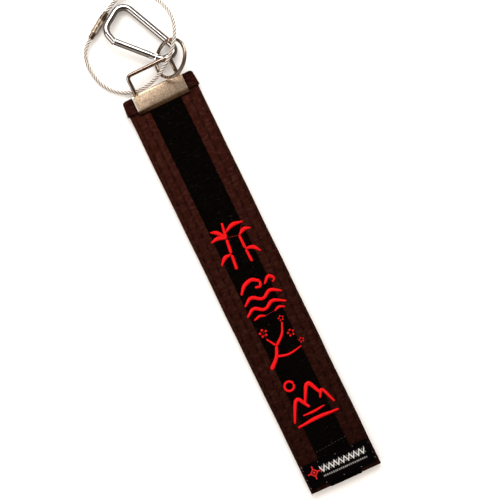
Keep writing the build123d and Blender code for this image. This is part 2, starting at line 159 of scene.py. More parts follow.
def add_room():
    """Even pale light all round; reflections see a darker room instead, palest near the horizon."""
    world = bpy.data.worlds.new("studio")
    world.use_nodes = True
    tree = world.node_tree
    coords = tree.nodes.new("ShaderNodeTexCoord")
    split = tree.nodes.new("ShaderNodeSeparateXYZ")
    height = tree.nodes.new("ShaderNodeMapRange")
    height.inputs["From Min"].default_value = -1.0
    ramp = tree.nodes.new("ShaderNodeValToRGB")
    fill_ramp(ramp, MIRRORED_ROOM)
    tree.links.new(coords.outputs["Generated"], split.inputs[0])
    tree.links.new(split.outputs["Z"], height.inputs["Value"])
    tree.links.new(height.outputs[0], ramp.inputs["Fac"])
    room = tree.nodes.new("ShaderNodeMix")
    room.data_type = "RGBA"
    room.inputs[6].default_value = (*ROOM_LIGHT, 1)
    tree.links.new(tree.nodes.new("ShaderNodeLightPath").outputs["Is Glossy Ray"], room.inputs[0])
    tree.links.new(ramp.outputs["Color"], room.inputs[7])
    tree.links.new(room.outputs[2], tree.nodes["Background"].inputs["Color"])
    tree.nodes["Background"].inputs["Strength"].default_value = 1.0
    bpy.context.scene.world = world
    bpy.context.scene.view_settings.view_transform = "Standard"


def add_lights():
    """Soft key from the upper right and weaker cards round it."""
    add_softbox("key", 64, 42, (0.7, 0.9), 12, (0.97, 0.99, 1.0))
    add_softbox("left_card", 180, 34, (1.0, 1.0), 5.5, (1.0, 0.96, 0.92))
    add_softbox("far_card", 106, 42, (0.8, 0.7), 4.5, (1.0, 0.95, 0.9))
    add_softbox("near_wall", 223, 30, (0.3, 0.7), 0.35, (1.0, 0.93, 0.85))
    add_softbox("right_wall", 27, 30, (0.4, 0.8), 0.4, (1.0, 0.93, 0.85))


def add_floor():
    """Pale paper just below the belt, which glows a little and stays out of reflections."""
    mesh = bpy.data.meshes.new("floor")
    square = ((-1, -1), (1, -1), (1, 1), (-1, 1))
    mesh.from_pydata([(x * FLOOR_HALF, y * FLOOR_HALF, FLOOR_Z) for x, y in square], [], [(0, 1, 2, 3)])
    ground = bpy.data.objects.new("floor", mesh)
    bpy.context.scene.collection.objects.link(ground)
    paper = Material("floor_paper", (0.9, 0.89, 0.88), 0.9, Emission_Strength=0.035)
    paper.shader.inputs["Emission Color"].default_value = (1.0, 0.93, 0.85, 1)
    mesh.materials.append(paper.data)
    ground.visible_glossy = False


# Materials

class Material:
    """A Principled material with short helpers for wiring up its texture nodes."""

    def __init__(self, name, colour, roughness, metallic=0.0, **extra):
        self.data = bpy.data.materials.new(name)
        self.data.use_nodes = True
        self.tree = self.data.node_tree
        self.shader = self.tree.nodes["Principled BSDF"]
        self.shader.inputs["Base Color"].default_value = (*colour, 1)
        self.shader.inputs["Roughness"].default_value = roughness
        self.shader.inputs["Metallic"].default_value = metallic
        for key, value in extra.items():
            self.shader.inputs[key.replace("_", " ")].default_value = value
        self.coords = self.tree.nodes.new("ShaderNodeTexCoord")

    def set(self, socket, value):
        if isinstance(value, bpy.types.NodeSocket):
            self.tree.links.new(value, socket)
        else:
            socket.default_value = value

    def math(self, operation, *values):
        node = self.tree.nodes.new("ShaderNodeMath")
        node.operation = operation
        for socket, value in zip(node.inputs, values):
            self.set(socket, value)
        return node.outputs[0]

    def where(self, kind="Object"):
        return self.coords.outputs[kind]

    def along(self, direction, kind="Object"):
        """Distance along a direction, in metres, or in the UV map's own units."""
        node = self.tree.nodes.new("ShaderNodeVectorMath")
        node.operation = "DOT_PRODUCT"
        self.set(node.inputs[0], self.where(kind))
        node.inputs[1].default_value = direction
        return node.outputs["Value"]

    def rise(self, distance, start, slope):
        """0 where a distance equals start, and slope more for each metre past it."""
        return self.math("MULTIPLY_ADD", distance, slope, -start * slope)

    def noise(self, scale, detail=3.0, roughness=0.5, vector=None):
        node = self.tree.nodes.new("ShaderNodeTexNoise")
        self.set(node.inputs["Vector"], vector or self.where())
        node.inputs["Scale"].default_value = scale
        node.inputs["Detail"].default_value = detail
        node.inputs["Roughness"].default_value = roughness
        return node.outputs["Fac"]

    def stretched(self, scales, rotation=0.0):
        """Object coordinates turned about Z and then scaled along each axis."""
        node = self.tree.nodes.new("ShaderNodeMapping")
        self.set(node.inputs["Vector"], self.where())
        node.inputs["Rotation"].default_value = (0, 0, rotation)
        node.inputs["Scale"].default_value = scales
        return node.outputs["Vector"]

    def ribs(self, direction, pitch, wobble=0.0, wobble_scale=300.0, kind="Object"):
        """Rounded ribs square to a direction, from 0 between them to 1 on top."""
        turn = self.math("MULTIPLY", self.along(direction, kind), 2 * pi / pitch)
        if wobble:
            turn = self.math("ADD", turn, self.math("MULTIPLY", self.noise(wobble_scale), wobble))
        return self.math("ADD", self.math("MULTIPLY", self.math("SINE", turn), 0.5), 0.5)

    def ramp(self, factor, *stops):
        node = self.tree.nodes.new("ShaderNodeValToRGB")
        self.set(node.inputs["Fac"], factor)
        fill_ramp(node, stops)
        return node.outputs["Color"]

    def grey_ramp(self, factor, *stops):
        """A ramp whose stops are each a place and one number."""
        return self.ramp(factor, *((place, (shade,) * 3) for place, shade in stops))

    def mix(self, factor, a, b, blend="MIX"):
        node = self.tree.nodes.new("ShaderNodeMix")
        node.data_type = "RGBA"
        node.blend_type = blend
        self.set(node.inputs[0], factor)
        for socket, value in ((node.inputs[6], a), (node.inputs[7], b)):
            self.set(socket, value if isinstance(value, bpy.types.NodeSocket) else (*value, 1))
        return node.outputs[2]

    def colour(self, value):
        self.set(self.shader.inputs["Base Color"], value)

    def roughness(self, value):
        self.set(self.shader.inputs["Roughness"], value)

    def bump(self, height, distance, strength=1.0):
        node = self.tree.nodes.new("ShaderNodeBump")
        self.set(node.inputs["Height"], height)
        node.inputs["Distance"].default_value = distance
        node.inputs["Strength"].default_value = strength
        before = self.shader.inputs["Normal"].links
        if before:
            self.tree.links.new(before[0].from_socket, node.inputs["Normal"])
        self.tree.links.new(node.outputs["Normal"], self.shader.inputs["Normal"])


def scaled(colour, k):
    return tuple(c * k for c in colour)


def ribbed_cloth(name, colour, lean, pitch, shaded_by_clamp=False):
    """Corded cotton: fine ribs that lean across the belt, slubs and fibre fuzz, with painted shade darker
    towards the free end.

    Cloth shaded by the clamp gets a painted shadow just below the clamp's edge, farther along beside the
    clamp.
    """
    m = Material(name, colour, 0.86, Sheen_Weight=0.01, Sheen_Roughness=0.5, Specular_IOR_Level=0.02)
    m.shader.inputs["Sheen Tint"].default_value = (0.9, 0.45, 0.35, 1)
    across = (-sin(lean), cos(lean), 0)
    rib = m.ribs(across, pitch, 1.6, 420)
    yarn = m.ribs((cos(lean), sin(lean), 0), 0.00055, 2.5, 600)
    slub = m.noise(1.0, 4, 0.62, m.stretched((330, 760, 500), -lean))
    patch = m.noise(38, 3, 0.55)
    fuzz = tuple(c * 1.6 + 0.013 for c in colour)
    body = m.ramp(rib, (0.0, scaled(colour, 0.3)), (0.55, colour), (1.0, scaled(colour, 2.1)))
    body = m.mix(0.65, body, m.ramp(slub, (0.36, scaled(colour, 0.35)), (0.5, colour), (0.66, fuzz)))
    body = m.mix(m.math("MULTIPLY", patch, 0.5), body, scaled(colour, 0.6))
    # Painted shade: the cloth grows darker towards the free end
    run = m.math("MULTIPLY_ADD", m.along((0, 1, 0)), 4.2, 0.5)
    body = m.mix(1.0, body, m.grey_ramp(run, (0.0, 0.45), (1.0, 1.0)), "MULTIPLY")
    if shaded_by_clamp:
        # Painted shadow of the clamp on the cloth, just below its edge and farther along beside its ears
        beside_clamp = m.math("GREATER_THAN", m.math("ABSOLUTE", m.along((1, 0, 0))), EAR_X)
        edge = m.math("MULTIPLY_ADD", beside_clamp, EAR_SHADOW_RISE, CLAMP_SHADOW_Y)
        shadow_depth = m.math("MULTIPLY", m.math("SUBTRACT", m.along((0, 1, 0)), edge), 1400)
        body = m.mix(1.0, body, m.grey_ramp(shadow_depth, (0.0, 1.0), (1.0, 0.12)), "MULTIPLY")
    m.colour(body)
    m.bump(rib, 0.00012, 0.8)
    m.bump(yarn, 0.00005, 0.5)
    m.bump(slub, 0.0001, 0.6)
    m.roughness(m.grey_ramp(slub, (0.2, 0.72), (0.8, 0.95)))
    return m.data


def black_cotton():
    """Black ribbon: plain weave, with a few pale specks of lint."""
    base = (0.0011, 0.0007, 0.0004)
    m = Material("black_ribbon_cotton", base, 0.85, Sheen_Weight=0.002, Sheen_Roughness=0.55)
    m.shader.inputs["Specular IOR Level"].default_value = 0.008
    weft = m.ribs((0, 1, 0), 0.0005, 2.0, 500)
    warp = m.ribs((1, 0, 0), 0.0007, 2.0, 500)
    slub = m.noise(1.0, 4, 0.6, m.stretched((140, 700, 400)))
    specks = m.noise(1500, 1.0, 0.3)
    body = m.ramp(slub, (0.3, scaled(base, 0.5)), (0.7, scaled(base, 1.7)))
    m.colour(m.mix(m.grey_ramp(specks, (0.735, 0), (0.78, 0.4)), body, (0.07, 0.066, 0.062)))
    m.bump(weft, 0.0001, 0.7)
    m.bump(warp, 0.00005, 0.5)
    m.roughness(m.grey_ramp(slub, (0.2, 0.68), (0.8, 0.92)))
    return m.data


def thread_material(name, colour, sheen=0.03, gloss=0.2):
    """Twisted sewing thread: slanting plies with fibre flecks."""
    m = Material(name, colour, 0.55, Sheen_Weight=sheen, Sheen_Roughness=0.4, Specular_IOR_Level=gloss)
    ply = m.ribs((0.55, 0.83, 0), 0.00032, 1.0, 900)
    fleck = m.noise(2600, 2)
    body = m.ramp(ply, (0.0, scaled(colour, 0.45)), (1.0, scaled(colour, 1.5)))
    m.colour(m.mix(m.math("MULTIPLY", fleck, 0.5), body, scaled(colour, 2.0)))
    m.bump(ply, 0.00006, 0.7)
    return m.data


def satin_stitch():
    """Red rayon embroidery: fine threads side by side across each stroke."""
    red = (0.92, 0.004, 0.006)
    m = Material("red_rayon", red, 0.42, Sheen_Weight=0.06, Sheen_Roughness=0.35)
    m.shader.inputs["Specular IOR Level"].default_value = 0.1
    m.shader.inputs["Anisotropic"].default_value = 0.4
    m.shader.inputs["Sheen Tint"].default_value = (1.0, 0.35, 0.3, 1)
    thread = m.ribs((1, 0.16, 0), 0.38, 1.2, 700, "UV")
    fleck = m.noise(1400, 3)
    body = m.ramp(thread, (0.0, (0.42, 0.0, 0.002)), (0.35, scaled(red, 0.8)), (1.0, red))
    m.colour(m.mix(m.math("MULTIPLY", fleck, 0.35), body, (0.62, 0.0, 0.003)))
    m.bump(thread, 0.00011, 0.9)
    m.roughness(m.grey_ramp(fleck, (0.2, 0.34), (0.8, 0.56)))
    return m.data


def woven(name, colour):
    """One colour of a damask label: fine weft picks over the warp."""
    m = Material(name, colour, 0.75, Sheen_Weight=0.003, Sheen_Roughness=0.4, Specular_IOR_Level=0.01)
    pick = m.ribs((0.026, 1, 0), 0.00028, 0.8, 900)
    warp = m.ribs((1, -0.026, 0), 0.00035, 0.8, 900)
    wear = m.noise(420, 4)
    body = m.ramp(pick, (0.0, scaled(colour, 0.5)), (1.0, scaled(colour, 1.2)))
    m.colour(m.mix(m.math("MULTIPLY", wear, 0.5), body, scaled(colour, 0.55)))
    m.bump(pick, 0.00005, 0.7)
    m.bump(warp, 0.00003, 0.5)
    return m.data


def blasted_nickel():
    """Satin nickel plate: fine blasted grain, faint rolling marks and soft blotches.

    The clamp's face has painted light that grows paler towards its fold and painted shade that darkens it to
    the right, a painted highlight along its left edge, and painted shade on the lip along its near edge.
    """
    base = (0.63, 0.45, 0.305)
    m = Material("blasted_nickel", base, 0.42, 1.0)
    grain = m.noise(1000, 5, 0.75)
    rolled = m.noise(1.0, 3, 0.6, m.stretched((60, 2200, 600)))
    blotch = m.noise(120, 4, 0.6)
    body = m.ramp(grain, (0.36, scaled(base, 0.45)), (0.5, base), (0.64, scaled(base, 1.6)))
    body = m.mix(m.math("MULTIPLY", blotch, 0.4), body, (0.72, 0.58, 0.45))
    east, north = m.along((1, 0, 0)), m.along((0, 1, 0))
    across = m.math("MULTIPLY_ADD", east, 31.0, 0.5)
    # Painted light paler towards the fold, and painted shade darker to the right
    fold_light = m.rise(north, FACE_Y, 118)
    face = m.mix(1.0, body, m.grey_ramp(fold_light, (0.0, 0.74), (1.0, 1.6)), "MULTIPLY")
    face = m.mix(1.0, face, m.grey_ramp(across, (0.25, 1.0), (0.55, 0.8), (0.95, 0.66)), "MULTIPLY")
    # Painted highlight along the left edge
    edge_highlight = m.rise(east, EDGE_HIGHLIGHT_X, -1500)
    face = m.mix(m.grey_ramp(edge_highlight, (0.0, 0), (1.0, 0.9)), face, (1.7, 1.5, 1.35))
    # Painted shade on the lip along the near edge, darkest at its left end
    shade = m.ramp(across, (0.02, (0.15, 0.1, 0.07)), (0.35, (0.55, 0.45, 0.34)))
    shaded_lip = m.mix(1.0, body, shade, "MULTIPLY")
    past_lip = m.rise(north, LIP_Y, 900)
    m.colour(m.mix(m.grey_ramp(past_lip, (0.0, 0), (1.0, 1)), shaded_lip, face))
    m.bump(grain, 0.00014, 0.9)
    m.bump(rolled, 0.00003, 0.4)
    m.roughness(m.grey_ramp(blotch, (0.3, 0.36), (0.7, 0.55)))
    return m.data


def polished(name, base, low, high, tarnish, metallic=1.0):
    """Bright plated metal: fine rub marks and a thin tarnish, its roughness from low to high."""
    m = Material(name, base, low, metallic)
    rub = m.noise(1.0, 4, 0.6, m.stretched((900, 240, 700), 0.6))
    stain = m.noise(260, 4, 0.6)
    m.colour(m.mix(m.grey_ramp(stain, (0.5, 0), (0.8, 0.7)), base, tarnish))
    m.bump(rub, 0.00002, 0.35)
    m.roughness(m.grey_ramp(rub, (0.3, low), (0.75, high)))
    return m.data


def plain_steel():
    """Drawn steel of the pins and the spring: turning lines and a little oil darkening."""
    base = (0.42, 0.4, 0.38)
    m = Material("pin_steel", base, 0.32, 1.0)
    turned = m.noise(1.0, 3, 0.5, m.stretched((300, 300, 5000)))
    m.colour(m.ramp(m.noise(900, 3), (0.3, scaled(base, 0.5)), (0.7, scaled(base, 1.2))))
    m.bump(turned, 0.00002, 0.5)
    m.roughness(m.grey_ramp(turned, (0.3, 0.22), (0.7, 0.45)))
    return m.data


def batting():
    """Layered cotton batting inside the belt."""
    base = (0.55, 0.5, 0.42)
    m = Material("batting", base, 0.95, Sheen_Weight=0.3)
    fibre = m.noise(1.0, 5, 0.7, m.stretched((900, 250, 1600)))
    m.colour(m.ramp(fibre, (0.3, scaled(base, 0.7)), (0.7, scaled(base, 1.2))))
    m.bump(fibre, 0.0002, 0.8)
    return m.data


# Mesh helpers

def add_object(name, points, faces, materials, smooth=True, face_slots=None, uvs=None):
    """Mesh object from points in millimetres."""
    mesh = bpy.data.meshes.new(name)
    mesh.from_pydata([(x * MM, y * MM, z * MM) for x, y, z in points], [], faces)
    for material in materials:
        mesh.materials.append(material)
    for i, polygon in enumerate(mesh.polygons):
        polygon.use_smooth = smooth
        if face_slots:
            polygon.material_index = face_slots[i]
    if uvs:
        layer = mesh.uv_layers.new(name="threads")
        for loop in mesh.loops:
            layer.data[loop.index].uv = uvs[loop.vertex_index]
    mesh.update()
    obj = bpy.data.objects.new(name, mesh)
    bpy.context.scene.collection.objects.link(obj)
    return obj


def frames(path):
    """Each point of a path with its direction and two square ones that turn as little as they can."""
    side = None
    for i, p in enumerate(path):
        ahead = (path[min(i + 1, len(path) - 1)] - path[max(i - 1, 0)]).normalized()
        if side is None:
            side = ahead.orthogonal().normalized()
        side = (side - ahead * side.dot(ahead)).normalized()
        yield p, ahead, side, ahead.cross(side)


def thicken(sheet, offset):
    """Give a sheet the thickness of woven ribbon: both ways from it at offset 0, below it at -1."""
    thick = sheet.modifiers.new("thickness", "SOLIDIFY")
    thick.thickness = RIBBON_THICKNESS * MM
    thick.offset = offset


class Build:
    """Points and faces of several closed forms gathered into one mesh."""

    def __init__(self):
        self.points = []
        self.faces = []
        self.slots = []
        self.uvs = []

    def grid(self, rows, closed=False, capped=False, slot=0, uvs=None):
        """Faces between successive rows of equal length; closed joins each row's ends."""
        base = len(self.points)
        n = len(rows[0])
        for i, row in enumerate(rows):
            self.points += [tuple(p) for p in row]
            self.uvs += uvs[i] if uvs else [(0.0, 0.0)] * n
        last = n if closed else n - 1
        for i in range(len(rows) - 1):
            for j in range(last):
                k = (j + 1) % n
                a, b = base + i * n, base + (i + 1) * n
                self.faces.append((a + j, a + k, b + k, b + j))
                self.slots.append(slot)
        if capped:
            end = base + (len(rows) - 1) * n
            self.faces.append(tuple(range(base + n - 1, base - 1, -1)))
            self.faces.append(tuple(range(end, end + n)))
            self.slots += [slot, slot]

    def tube(self, path, radius, sides=8, slot=0):
        """Closed tube along a path of Vectors."""
        turns = [2 * pi * k / sides for k in range(sides)]
        rows = []
        for p, _, side, up in frames(path):
            rows.append([p + (side * cos(a) + up * sin(a)) * radius for a in turns])
        self.grid(rows, closed=True, capped=True, slot=slot)

    def make(self, name, materials, smooth=True):
        has_uvs = any(u != (0.0, 0.0) for u in self.uvs)
        return add_object(
            name, self.points, self.faces, materials, smooth, self.slots, self.uvs if has_uvs else None
        )


def wobble(a, b):
    """Smooth value from -1 to 1 that wanders with its arguments."""
    return 0.5 * sin(a * 1.7 + 2.1 * sin(b * 0.9 + a * 0.31)) + 0.5 * sin(b * 2.3 + 1.3 * sin(a * 1.1) + 0.7)


def spaced(low, high, step):
    """Values from low to high at even steps, none larger than the given one."""
    count = max(1, ceil((high - low) / step))
    return [low + (high - low) * i / count for i in range(count + 1)]


# Belt

def held(y):
    """0 on the free belt, 1 where the clamp holds it flat."""
    t = min(1.0, max(0.0, (y - PINCH[0]) / (PINCH[1] - PINCH[0])))
    return t * t * (3 - 2 * t)


def layer_z(y, side, proud=0.0):
    """Height of the cloth's face (1) or back (-1), with something proud of it."""
    h = held(y)
    middle = MIDDLE + (MIDDLE_HELD - MIDDLE) * h
    half = COVER_HALF + (COVER_HALF_HELD - COVER_HALF) * h
    return middle + side * (half + proud)


def slant(x, y):
    """How far the free end's slant moves the cloth along the belt, less and less away from that end."""
    return -x * tan(radians(END_SLANT)) * max(0.0, 1 - (y - FREE_END_Y) / SLANT_FADE)


def over_ribbon(x, margin=0.0, steepness=4.0):
    """1 over the black ribbon and 0 beside it, with a smooth step at its edge."""
    return 1 / (1 + exp((abs(x) - STRIPE_HALF - margin) * steepness))


def seam_sink(x, y):
    """How far the stitching pulls the cloth in, most at the needle holes."""
    sink = 0.0
    for i, seam in enumerate(SEAMS):
        away = abs(x - seam)
        if away < 2.2:
            phase = (y + SEAM_STAGGER * i) / STITCH_PITCH
            near_hole = cos(2 * pi * phase) * 0.5 + 0.5
            sink += (0.2 + 0.32 * near_hole ** 4) * exp(-(away / SEAM_WIDTH) ** 2)
    return sink


def cover_section():
    """Stations round the cloth tube, each its x, its side (1 face, -1 back, 0 edge) and an edge's height.

    An edge's height is from -1 at the back to 1 at the face. Stations are closest near the seams.
    """
    face = []
    end = SIDE - SIDE_ROUND
    x = -end
    while x < end:
        face.append(x)
        near = min(abs(x - s) for s in SEAMS)
        x += 0.3 if near < 1.6 else 1.1
    face.append(end)
    arc = [radians(a) for a in range(80, -81, -20)]
    ring = [(x, 1, 0.0) for x in face]
    ring += [(end + SIDE_REACH * cos(a), 0, sin(a)) for a in arc]
    ring += [(x, -1, 0.0) for x in reversed(face)]
    ring += [(-end - SIDE_REACH * cos(a), 0, sin(a)) for a in reversed(arc)]
    return ring


def add_belt_cloth(material):
    """The cover: a flat cloth tube, drawn in at the seams, thinner at the free end and a little uneven."""
    ring = cover_section()
    rows = []
    for y in spaced(FREE_END_Y, CLAMPED_END_Y, 0.6):
        row = []
        loose = 1 - held(y)
        full = min(1.0, (y - FREE_END_Y) / 1.6) ** 0.4
        middle = (layer_z(y, 1) + layer_z(y, -1)) / 2
        half = layer_z(y, 1) - middle
        for x, side, height in ring:
            drift = 0.12 * wobble(y * 0.06, x * 0.02) * loose
            fray = 0.0 if side else 0.06 * wobble(y * 5.1, x)
            lift = 0.1 * wobble(y * 0.35, x * 0.3) * loose if side > 0 else 0.0
            puff = 0.1 * cos((x - 17.8) * 1.1) if side > 0 and abs(x) > 13 else 0.0
            rise = side * (half + puff - seam_sink(x, y)) if side else height * half
            z = middle + rise * (0.72 + 0.28 * full) + lift * full
            row.append((x + drift + fray, y + slant(x, y), z))
        rows.append(row)
    build = Build()
    build.grid(rows, closed=True, capped=True)
    cloth = build.make("belt_cloth", [material])
    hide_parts("belt_cover")
    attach(cloth, "strap")


def ribbon_path():
    """The black ribbon's run: down the face, round the free end and back along the underside."""
    ys = spaced(FREE_END_Y + 0.7, CLAMPED_END_Y, 0.9)
    down = [(y, layer_z(y, 1, STRIPE_PROUD)) for y in reversed(ys)]
    back = [(y, layer_z(y, -1, STRIPE_PROUD)) for y in ys]
    centre_y, height = FREE_END_Y + 1.6, COVER_HALF + STRIPE_PROUD - 0.02
    angles = [radians(90 + i * 15) for i in range(1, 12)]
    turn = [(centre_y + COVER_HALF * cos(a), MIDDLE + height * sin(a)) for a in angles]
    return down + turn + back


def add_black_ribbon(material):
    """The stripe: one ribbon with wavy edges that dip to the cloth, lying a little slack."""
    path = ribbon_path()
    rows = []
    columns = [-1.0, -0.985, -0.95] + [i / 10 for i in range(-9, 10)] + [0.95, 0.985, 1.0]
    for i, (y, z) in enumerate(path):
        before, after = path[max(i - 1, 0)], path[min(i + 1, len(path) - 1)]
        run = Vector((0, after[0] - before[0], after[1] - before[1])).normalized()
        out = Vector((0, run.z, -run.y))
        out = out if out.z * (1 if z > MIDDLE else -1) >= 0 else -out
        row = []
        for c in columns:
            edge = 0.16 * wobble(y * 0.9 + 3 * c, c) + 0.09 * wobble(y * 3.7, c * 5)
            x = c * (STRIPE_HALF + edge) + 0.1
            drop = 0.34 if abs(c) == 1.0 else 0.06 if abs(c) > 0.98 else 0.0
            slack = (0.05 * wobble(y * 0.5, x * 0.4) + 0.03) * (1 - held(y))
            p = Vector((x, y + slant(x, y), z)) + out * (slack - drop)
            row.append((p.x, p.y, max(p.z, 0.005)))
        rows.append(row)
    build = Build()
    build.grid(rows)
    ribbon = build.make("black_ribbon", [material])
    thicken(ribbon, 0.0)
    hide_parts("black_stripe")
    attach(ribbon, "strap")


def stitch(build, x, y, side, lean, proud, slot):
    """One stitch: a thread that rises from its hole, lies on the cloth and dips again."""
    path = []
    for t in spaced(0, 1, 1 / 8):
        along = (t - 0.5) * STITCH_LENGTH
        arch = 1 - (2 * t - 1) ** 4
        px = x + along * sin(lean)
        py = y + along * cos(lean)
        path.append(Vector((px, py, layer_z(py, side, proud + 0.2 * arch - 0.34))))
    build.tube(path, THREAD_RADIUS, 7, slot)


def add_stitch_rows(name, node, side, materials):
    """Stitches along every seam on the face (1) or the back (-1), each a little out of line."""
    build = Build()
    random.seed(4 + side)
    low, high = FACE_STITCHES if side > 0 else BACK_STITCHES
    proud = 0.02 if side > 0 else 0.1
    for i, x in enumerate(SEAMS):
        stagger = SEAM_STAGGER * i
        k = ceil((low + stagger) / STITCH_PITCH)
        y = (k + 0.5) * STITCH_PITCH - stagger
        while y <= high:
            k += 1
            lean = radians(11 + random.uniform(-4, 4)) * side
            stitch(build, x + random.uniform(-0.08, 0.08), y, side, lean, proud, k % 2)
            y = (k + 0.5) * STITCH_PITCH - stagger
    threads = build.make(name, materials)
    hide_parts(node)
    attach(threads, "strap")


def add_cross_seam(materials):
    """Row of grey stitches across the stripe above the label, and two loose thread ends."""
    build = Build()
    for i in range(CROSS_SEAM_STITCHES):
        x = CROSS_SEAM_START[0] + CROSS_SEAM_PITCH * i
        y = CROSS_SEAM_START[1] + 0.05 * x + 0.05 * sin(3 * x)
        path = [Vector((x + 1.25 * t, y, 5.02 + 0.14 * sin(pi * t))) for t in spaced(0, 1, 0.2)]
        build.tube(path, 0.13, 6)
    for start_x, start_y, heading in LOOSE_ENDS:
        path = []
        for i in range(8):
            t = i / 7
            a = heading + 1.1 * t
            reach = LOOSE_END_LENGTH * t
            path.append(Vector((start_x + reach * cos(a), start_y + reach * sin(a), 2.6 + 0.5 * sin(2 * t))))
        build.tube(path, 0.11, 5)
    seam = build.make("cross_seam", materials)
    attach(seam, "strap")


# Label: its place on the belt, and its pattern about its own middle, in millimetres

LABEL_CENTRE = [(low + high) / 2 for low, high in zip(label_low, label_high)]
LABEL_SIZE = (41.5, 15.0)
LABEL_Z = 4.98
LABEL_CELL = 0.26
GROUND, WHITE, RED, GREY = range(4)
DIAMOND = (-15.4, 1.4)
ZIGZAG = (-11.4, 17.4)
ZIGZAG_MIDDLE = 1.7
ZIGZAG_PITCH = 3.2
ZIGZAG_HEIGHT = 3.3
DASHES = (-10.8, 16.8)
DASHES_V = -2.6
BORDER_V = 6.5


def label_pattern(u, v):
    """Woven colour at a place on the label: a diamond, a zigzag, a row of dashes and a broken border."""
    du, dv = abs(u - DIAMOND[0]), abs(v - DIAMOND[1])
    if 1.7 < du + dv < 2.7 or du + dv < 0.9:
        return RED
    if 2.7 <= du + dv < 4.2 and min(du, dv) < 0.45:
        return RED
    if ZIGZAG[0] < u < ZIGZAG[1]:
        phase = ((u - ZIGZAG[0]) / ZIGZAG_PITCH) % 1.0
        ridge = ZIGZAG_HEIGHT * (abs(2 * phase - 1) - 0.5)
        if abs(v - ZIGZAG_MIDDLE - ridge) < 0.72:
            return WHITE
        if abs(v - ZIGZAG_MIDDLE + ridge) < 0.3:
            return GREY
    if DASHES[0] < u < DASHES[1] and abs(v - DASHES_V) < 0.5:
        return GREY if (u * 0.8) % 1.0 < 0.62 else GROUND
    if abs(abs(v) - BORDER_V) < 0.16:
        return GREY if (u * 0.09) % 1.0 < 0.04 else GROUND
    return GROUND


def add_label(materials):
    """The sewn label: a fine grid, one woven colour to a cell, that drapes over the ribbon below it.

    Loose weft ends stand out at its two short sides.
    """
    half_u, half_v = LABEL_SIZE[0] / 2, LABEL_SIZE[1] / 2
    us = spaced(-half_u, half_u, LABEL_CELL)
    vs = spaced(-half_v, half_v, LABEL_CELL)
    lean = radians(-END_SLANT)

    def top(u, v):
        x = LABEL_CENTRE[0] + u * cos(lean) - v * sin(lean)
        y = LABEL_CENTRE[1] + u * sin(lean) + v * cos(lean)
        rim = min(half_u - abs(u), half_v - abs(v))
        z = LABEL_Z + 0.36 * over_ribbon(x, 0.4, 3.0) + 0.06 * wobble(u * 0.6, v * 0.8)
        z += 0.07 * exp(-rim / 0.5) - 0.16 * exp(-((rim - 1.0) / 0.35) ** 2)
        return x, y, z

    build = Build()
    build.grid([[top(u, v) for u in us] for v in vs])
    cells = [((u0 + u1) / 2, (v0 + v1) / 2) for v0, v1 in zip(vs, vs[1:]) for u0, u1 in zip(us, us[1:])]
    build.slots = [label_pattern(u, v) for u, v in cells]
    random.seed(11)
    for side in (-1, 1):
        v = -half_v + 0.2
        while v < half_v:
            reach = random.uniform(0.25, 1.1)
            drift = random.uniform(-0.3, 0.3)
            x, y, z = top(side * (half_u - 0.3), v)
            path = [
                Vector((x + side * reach * t, y + drift * t * t, z - 0.05 - 0.3 * t)) for t in (0, 0.5, 1)
            ]
            build.tube(path, 0.07, 4, slot=GREY if random.random() < 0.3 else GROUND)
            v += random.uniform(0.35, 0.8)
    label = build.make("woven_label", materials)
    thicken(label, -1.0)
    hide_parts("label")
    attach(label, "strap")


# Embroidery: each stroke is a list of (x, y, half width), in the motif's own frame

SATIN_Z = 4.62
RIBBON_RISE = 0.4
BAMBOO = [
    [(-5.0, -13.5, 1.0), (-4.0, -4.5, 0.9)],
    [(-3.9, -3.6, 1.0), (-2.8, 5.0, 0.9)],
    [(-2.7, 5.9, 1.0), (-1.2, 15.0, 0.7)],
    [(5.2, -13.0, 0.9), (4.9, -5.0, 0.8)],
    [(4.9, -4.2, 0.9), (5.0, 4.0, 0.8)],
    [(-2.6, 5.6, 0.5), (-7.0, 8.0, 1.5), (-12.0, 7.0, 0.4)],
    [(-2.4, 6.0, 0.5), (-6.2, 11.2, 1.4), (-9.8, 12.8, 0.4)],
    [(-1.6, 9.0, 0.5), (4.0, 11.8, 1.5), (10.4, 10.6, 0.4)],
    [(5.0, 4.2, 0.5), (9.0, 6.6, 1.4), (13.0, 5.2, 0.4)],
    [(4.9, -4.4, 0.5), (9.6, -5.4, 1.4), (12.6, -9.6, 0.4)],
    [(-4.0, -4.0, 0.5), (-8.4, -4.0, 1.4), (-12.2, -7.8, 0.4)],
]
WAVES = [
    [(-12.5, -9.0, 0.6), (-7.0, -5.0, 1.2), (-1.0, -9.6, 0.9), (5.0, -5.4, 1.2), (12.4, -9.8, 0.5)],
    [(-11.0, -2.6, 0.6), (-5.6, 1.4, 1.2), (0.6, -3.4, 0.9), (6.4, 0.8, 1.2), (12.8, -3.4, 0.5)],
    [(-10.0, 4.4, 0.6), (-6.2, 9.0, 1.3), (-0.6, 10.6, 1.2), (3.6, 7.4, 0.9)],
    [(3.6, 7.4, 0.9), (2.4, 4.2, 0.9), (-0.8, 5.2, 0.7)],
    [(5.2, 4.6, 0.6), (9.2, 8.4, 1.2), (12.2, 5.6, 0.7), (10.0, 3.6, 0.5)],
    [(-9.6, -12.2, 0.5), (-5.4, -11.0, 0.9), (-2.2, -12.6, 0.4)],
    [(3.6, -12.2, 0.4), (7.2, -10.8, 0.9), (10.4, -12.6, 0.4)],
]
BLOSSOM = [
    [(-12.4, -12.6, 1.3), (-6.4, -7.4, 1.1), (-3.6, -1.2, 0.9)],
    [(-3.6, -1.2, 0.9), (2.6, 3.6, 0.8), (5.4, 10.2, 0.5)],
    [(-6.0, -7.0, 0.8), (1.0, -9.0, 0.7), (9.6, -7.4, 0.4)],
    [(-3.8, -0.8, 0.7), (-7.2, 4.8, 0.5)],
]
FLOWERS = ((-7.4, 8.8, 3.1), (7.4, 2.2, 2.7), (5.8, 12.4, 2.1), (11.2, -4.4, 1.9))
